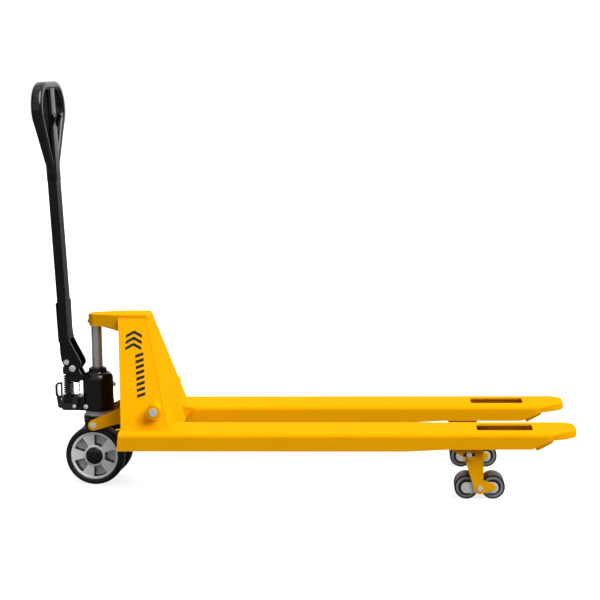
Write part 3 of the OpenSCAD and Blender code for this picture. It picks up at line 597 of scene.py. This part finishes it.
def rims():
    """Cast rims: a turned lip and hub round a face with deep pockets, whose walls are lined with dark
    sheets of painted shade.
    """
    cutter_h = 44 * MM
    for side, sign in SIDES.items():
        node = "steer_rim_" + side
        place = axes(joint_at("wheel_spin_" + side), sign * STEER_Y)
        profile = [(10.1, -22), (10.1, 16), (22, 16), (22, 22), (23, 23), (29, 23), (30.5, 21),
                   (31.5, 19.6), (65, 19.6), (66.5, 20.4), (68, 22), (71, 22.4), (72.3, 21.8),
                   (72.5, 20), (72.5, -20), (72.3, -21.8), (71, -22.4), (68, -22), (66.5, -19),
                   (31, -19), (29.5, -22)]
        outline = [(r * MM, h * MM) for r, h in profile]
        rim = piece("rim_cast_" + side, lathe(outline, place, 96), ALLOY, body_of(node))
        walls = []
        for i in range(POCKETS):
            turn = place @ Matrix.Rotation(POCKET_TURN + 2 * math.pi * i / POCKETS, 4, "Z")
            bottom = turn @ Matrix.Translation((0, 0, POCKET_FLOOR))
            cutter = bpy.data.objects.new("cutter", prism(pocket_outline(), bottom, cutter_h))
            bpy.context.scene.collection.objects.link(cutter)
            pocket = rim.modifiers.new("pocket", "BOOLEAN")
            pocket.operation = "DIFFERENCE"
            pocket.solver = "EXACT"
            pocket.object = cutter
            raised = bottom @ Matrix.Translation((0, 0, 0.05 * MM))
            # A thin dark sheet just inside each pocket's walls: painted shade.
            walls.append(prism_ring(pocket_outline(), raised, SPOKE_FACE - POCKET_FLOOR, WALL_T))
        graph = bpy.context.evaluated_depsgraph_get()
        shaped = bpy.data.meshes.new_from_object(rim.evaluated_get(graph))
        for pocket in list(rim.modifiers):
            bpy.data.objects.remove(pocket.object)
        rim.modifiers.clear()
        rim.data = shaped
        smooth(rim.data, math.radians(25))
        stand_for(node)
        # The dark lining sheets of all pockets, in one piece: painted shade.
        add_piece("rim_pocket_painted_shade_" + side, joined(walls), POCKET_PAINTED_SHADE, node)


def rocker_pin_heads():
    """Heads of the rocker's rear pins, which are the lowest and the rearmost of its pins."""
    pin_r, head_r, head_h, arm_face = 8 * MM, 9.4 * MM, 2.6 * MM, 98.1 * MM
    pins_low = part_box("rocker_pins")[0]
    heads = []
    for sign in SIDES.values():
        centre = Vector((pins_low[0] + pin_r, sign * arm_face, pins_low[2] + pin_r))
        heads.append(pin_head(centre, Vector((0, sign, 0)), head_r, head_h))
    add_piece("rocker_pin_heads", joined(heads), ZINC, "rocker_pins")


def rollers():
    """Load rollers: a tread, a core with a turned groove, and a bearing seal on each face."""
    for side in SIDES:
        for end in ("rear", "front"):
            name = side + "_" + end
            node = "load_roller_" + name
            spin = "roller_spin_" + name
            place = axes(joint_at(spin), joint_axis(spin))
            tread = [(30.6, 33.2), (31.4, 34), (33.6, 33.8), (34.7, 32.6), (35, 31), (35, 0)]
            core = [(23, 32.2), (23.6, 33.2), (26.4, 33.2), (27.1, 32.6), (27.8, 33.2), (30.2, 33.2),
                    (30.7, 32.6), (30.7, 0)]
            seal = [(8.2, 31.4), (8.2, 32.2), (12, 32.6), (22.4, 32.6), (23.1, 32), (23.1, 0)]
            for label, half, material in (("tread", tread, TREAD), ("core", core, CORE),
                                          ("seal", seal, SEAL)):
                mesh = lathe(mirrored(half), place, 72)
                add_piece("roller_" + label + "_" + name, mesh, material, node, label == "tread")


def spring():
    """Return spring: one steel coil."""
    low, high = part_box("plunger_spring")
    centre = middle("plunger_spring")
    height = high[2] - low[2]
    wire = 2.3 * MM
    radius = 14 * MM
    turns = 8.5
    steps = 24
    path = []
    for i in range(int(turns * steps) + 1):
        a = 2 * math.pi * i / steps
        rise = (i / (turns * steps)) * (height - 2 * wire)
        path.append(Vector((centre.x + radius * math.cos(a), centre.y + radius * math.sin(a),
                            low[2] + wire + rise)))
    coil = sweep(path, round_section(wire, 10), UP)
    obj = add_piece("spring_coil", coil, DARK_STEEL, "plunger_spring", True)
    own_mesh(obj)


def chain():
    """Oval links, each a quarter turn from the last."""
    low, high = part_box("pull_chain")
    centre = middle("pull_chain")
    count = 11
    wire = 1.0 * MM
    half_long, half_wide = 4.9 * MM, 3.1 * MM
    pitch = (high[2] - low[2] - 2 * half_long) / (count - 1)
    links = []
    for i in range(count):
        across = STEER_X if i % 2 else STEER_Y
        outline = belt([(0, -half_long + half_wide, half_wide - wire),
                        (0, half_long - half_wide, half_wide - wire)], 24)
        z = low[2] + half_long + i * pitch
        path = [Vector((centre.x, centre.y, z + b)) + a * across for a, b in outline]
        links.append(sweep(path, round_section(wire, 8), across.cross(UP), closed=True))
    add_piece("chain_links", joined(links), DARK_STEEL, "pull_chain", True)


def leg_pins():
    """Pins that the legs hang on, each end domed over a black lens-shaped plate."""
    stand = 6 * MM
    pin_r, head_r, head_h = 8 * MM, 8.2 * MM, 5.7 * MM
    lens_half_l, lens_half_w, lens_t, lens_bevel = 18 * MM, 6.5 * MM, 1.8 * MM, 0.3 * MM
    turns = [2 * math.pi * i / 36 for i in range(36)]
    lens = [(lens_half_l * math.cos(t), lens_half_w * math.sin(t) * abs(math.sin(t)) ** 0.3) for t in turns]
    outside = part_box("leg_nuts")[1][1]
    pins = []
    plates = []
    for side in SIDES:
        centre = joint_at("leg_turn_" + side)
        reach = outside - abs(centre.y) - stand
        ends = []
        for facing in (-1, 1):
            out = Vector((0, facing, 0))
            face = centre + reach * out
            ends.append(face)
            pins.append(pin_head(face, out, head_r, head_h))
            plates.append(prism(lens, axes(face, out, (1, 0, 0)), lens_t, lens_bevel))
        pins.append(sweep(ends, round_section(pin_r, 32), UP))
    add_piece("leg_pin_ends", joined(pins), ZINC, "leg_nuts", True)
    add_piece("leg_pin_plates", joined(plates), ENAMEL, "leg_nuts")


def base_fittings():
    """Head of the pump's foot bolt, and the release lever's hinge bolt, on the near side of the base."""
    near = -STEER_Y
    hinge = joint_at("release_lever_turn")
    base_face, foot_back = 46.8 * MM, 28 * MM
    bolt_out, shaft_out, shaft_in = 40.6 * MM, 41 * MM, 30 * MM
    foot = joint_at("steer") - foot_back * STEER_X + base_face * near
    foot.z = hinge.z
    shaft = sweep([hinge + shaft_out * near, hinge + shaft_in * near], round_section(4 * MM, 24), UP)
    heads = [pin_head(foot, near, 7 * MM, 5.8 * MM),
             pin_head(hinge + bolt_out * near, near, 5.6 * MM, 5 * MM),
             shaft]
    add_piece("base_bolts", joined(heads), ZINC, "pump_bolts", True)


def outer_face(node):
    """Centre and outward normal of the largest flat face that looks away from the middle."""
    mesh = NODES[node].data
    side = 1 if middle(node).y > 0 else -1
    best = max((p for p in mesh.polygons if p.normal.y * side > 0.3), key=lambda p: p.area)
    return Vector(best.center), Vector(best.normal)


# Marks on the housing's sides. BACK counts from the plate's front corner and DOWN from its top.

STROKE_W = 10 * MM
FILM_T = 0.2 * MM
CHEVRONS = 3
CHEVRON_BACK = 110 * MM
CHEVRON_DOWN = 42 * MM
CHEVRON_STEP = 17 * MM
CHEVRON_HALF_W = 24 * MM
CHEVRON_DROP = 14 * MM
BARS = 8
BAR_BACK = 91 * MM
BAR_DOWN = 100 * MM
BAR_STEP = 15.5 * MM
BAR_SHIFT = 1.7 * MM
BAR_HALF_L = 12 * MM
BAR_RISE = 9 * MM


def side_marks():
    """Plain lifting marks on the housing's sides: stacked chevrons over a column of slanted bars."""
    along = Vector((1, 0, 0))
    for side in SIDES:
        node = "side_plate_" + side
        point, normal = outer_face(node)
        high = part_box(node)[1]
        slope = Vector((0, -normal.z * normal.y, normal.y ** 2)).normalized()

        def on_face(x, z):
            """Placement on the face at a length along the jack and a height."""
            base = Vector((x, point.y, point.z))
            up = (z - point.z) / slope.z
            return axes(base + up * slope + 0.05 * MM * normal, normal, along)

        upright = 1 if on_face(point.x, point.z).to_3x3().col[1].z > 0 else -1
        w, t, drop, rise = CHEVRON_HALF_W, STROKE_W, CHEVRON_DROP, BAR_RISE
        chevron = [(-w, -drop), (0, 0), (w, -drop), (w, -drop - t), (0, -t), (-w, -drop - t)]
        chevron = [(x, upright * (y + drop / 2 + t / 2)) for x, y in chevron]
        bar = [(-BAR_HALF_L, -rise), (BAR_HALF_L, 0), (BAR_HALF_L, t), (-BAR_HALF_L, t - rise)]
        bar = [(x, upright * y) for x, y in bar]
        marks = []
        for i in range(CHEVRONS):
            place = on_face(high[0] - CHEVRON_BACK, high[2] - CHEVRON_DOWN - i * CHEVRON_STEP)
            marks.append(prism(chevron, place, FILM_T))
        for i in range(BARS):
            place = on_face(high[0] - BAR_BACK + i * BAR_SHIFT, high[2] - BAR_DOWN - i * BAR_STEP)
            marks.append(prism(bar, place, FILM_T))
        piece("lift_marks_" + side, joined(marks), VINYL, body_of(node))


def weld(start, end, radius, seed):
    """Ripple-faced weld bead between two points at one height."""
    ripple = 2.2 * MM
    count = max(12, int((end - start).length / ripple))
    path = [start.lerp(end, i / count) for i in range(count + 1)]
    sizes = [1 + 0.14 * math.sin(2.1 * i + seed) + 0.07 * math.sin(5.3 * i + 2 * seed)
             for i in range(count + 1)]
    sizes[0] = sizes[-1] = 0.3
    return sweep(path, round_section(radius, 8), UP, scale=sizes)


def welds():
    """Beads where the side plates and the front plate stand on the forks."""
    proud, side_bead_r, front_bead_r = 0.3 * MM, 2.2 * MM, 2.6 * MM
    rear_gap, front_gap, inner_gap, ahead = 12 * MM, 3 * MM, 8 * MM, 0.5 * MM
    beads = []
    for side, sign in SIDES.items():
        low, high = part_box("side_plate_" + side)
        outside = sign * max(abs(low[1]), abs(high[1]))
        heel_low, heel_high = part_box("heel_" + side)
        inside = min(abs(heel_low[1]), abs(heel_high[1]))
        z = low[2] + proud
        rear = Vector((low[0] + rear_gap, outside + sign * proud, z))
        front = Vector((high[0] - front_gap, outside + sign * proud, z))
        beads.append(weld(rear, front, side_bead_r, 1.3 + sign))
        inner = Vector((high[0] + ahead, sign * (inside + inner_gap), z))
        outer = Vector((high[0] + ahead, outside, z))
        beads.append(weld(inner, outer, front_bead_r, 0.4 + sign))
    add_piece("weld_beads", joined(beads), PAINT, "front_plate")


def dress_the_rest():
    """Gives every CAD node that no piece stands for yet its rounded edges and its finish."""
    for node in [node for node in NODES if node not in REPLACED]:
        if node in ("pump_body", "pump_base", "gland_nut"):
            dressed(node, 1.5 * MM, CASTING, 3)
        elif node == "handle_tube":
            dressed(node, 3 * MM, segments=3)
        elif node in ("plunger", "press_roller", "release_lever", "push_rod_left", "push_rod_right"):
            dressed(node, material=DARK_STEEL)
        else:
            dressed(node)


handle_loop()
wheels()
rims()
rocker_pin_heads()
rollers()
spring()
chain()
leg_pins()
base_fittings()
side_marks()
welds()
dress_the_rest()


# ---------------------------------------------------------------- scene

def camera():
    """The view from well back on the near side, a little above the handle, looking slightly down."""
    stand = (0.2641, -4.870, 1.2644)
    yaw, pitch, roll = -0.0574, 0.1448, -0.0126
    forward = Vector((math.sin(yaw) * math.cos(pitch), math.cos(yaw) * math.cos(pitch), -math.sin(pitch)))
    right = Vector((math.cos(yaw), -math.sin(yaw), 0))
    up = right.cross(forward)
    x_axis = math.cos(roll) * right + math.sin(roll) * up
    y_axis = -math.sin(roll) * right + math.cos(roll) * up
    data = bpy.data.cameras.new("camera")
    data.lens = 98.34
    data.sensor_width = 36
    obj = bpy.data.objects.new("camera", data)
    turn = Matrix((x_axis, y_axis, -forward)).transposed()
    obj.matrix_world = Matrix.Translation(stand) @ turn.to_4x4()
    bpy.context.scene.collection.objects.link(obj)
    bpy.context.scene.camera = obj


def sun(name, azimuth_deg, height_deg, strength, spread_deg):
    """A broad soft light. Azimuth 0 shines from the camera's side, 90 from the fork tips' side."""
    data = bpy.data.lights.new(name, "SUN")
    data.energy = strength
    data.angle = math.radians(spread_deg)
    obj = bpy.data.objects.new(name, data)
    a, e = math.radians(azimuth_deg), math.radians(height_deg)
    source = Vector((math.sin(a) * math.cos(e), -math.cos(a) * math.cos(e), math.sin(e)))
    obj.rotation_mode = "QUATERNION"
    obj.rotation_quaternion = source.to_track_quat("Z", "Y")
    bpy.context.scene.collection.objects.link(obj)


def studio():
    """White sweep behind, dark room behind the camera, broad soft lights."""
    world = bpy.data.worlds.new("studio")
    world.use_nodes = True
    bpy.context.scene.world = world
    tree = world.node_tree
    add, link = tree.nodes.new, tree.links.new
    background = tree.nodes["Background"]
    split = add("ShaderNodeSeparateXYZ")
    link(add("ShaderNodeTexCoord").outputs["Generated"], split.inputs[0])
    ramp = add("ShaderNodeMapRange")
    ramp.inputs["From Min"].default_value = 0.0
    ramp.inputs["From Max"].default_value = 0.6
    ramp.inputs["To Min"].default_value = 0.06
    ramp.inputs["To Max"].default_value = 1.0
    link(split.outputs[1], ramp.inputs["Value"])
    seen = add("ShaderNodeMix")
    seen.data_type = "FLOAT"
    link(add("ShaderNodeLightPath").outputs["Is Camera Ray"], seen.inputs[0])
    link(ramp.outputs[0], seen.inputs[2])
    seen.inputs[3].default_value = 1.0
    link(seen.outputs[0], background.inputs["Strength"])
    background.inputs["Color"].default_value = (1, 1, 1, 1)

    sun("key", 58, 46, 4.3, 50)
    sun("overhead", -20, 80, 0.6, 60)
    sun("front", -14, 12, 0.88, 90)

    gap = 0.6 * MM
    bpy.ops.mesh.primitive_plane_add(size=60, location=(0, 0, -gap))
    floor = bpy.context.object
    floor.name = "floor"
    m = Shader("pale_floor", Roughness=0.8, Specular_IOR_Level=0.0)
    seen = m.add("ShaderNodeLightPath").outputs["Is Camera Ray"]
    pale = m.blend(m.noise(3, 2), grey(0.50), grey(0.54))
    m.feed("Base Color", m.blend(seen, grey(0.12), pale))
    m.shader.inputs["Emission Color"].default_value = grey(1.0)
    m.feed("Emission Strength", m.remap(seen, 0.0, 1.0, 0.02, 0.80))
    floor.data.materials.append(m.material)

    view = bpy.context.scene.view_settings
    view.view_transform = "Standard"
    view.look = "None"
    view.exposure = 0
    view.gamma = 1


camera()
studio()
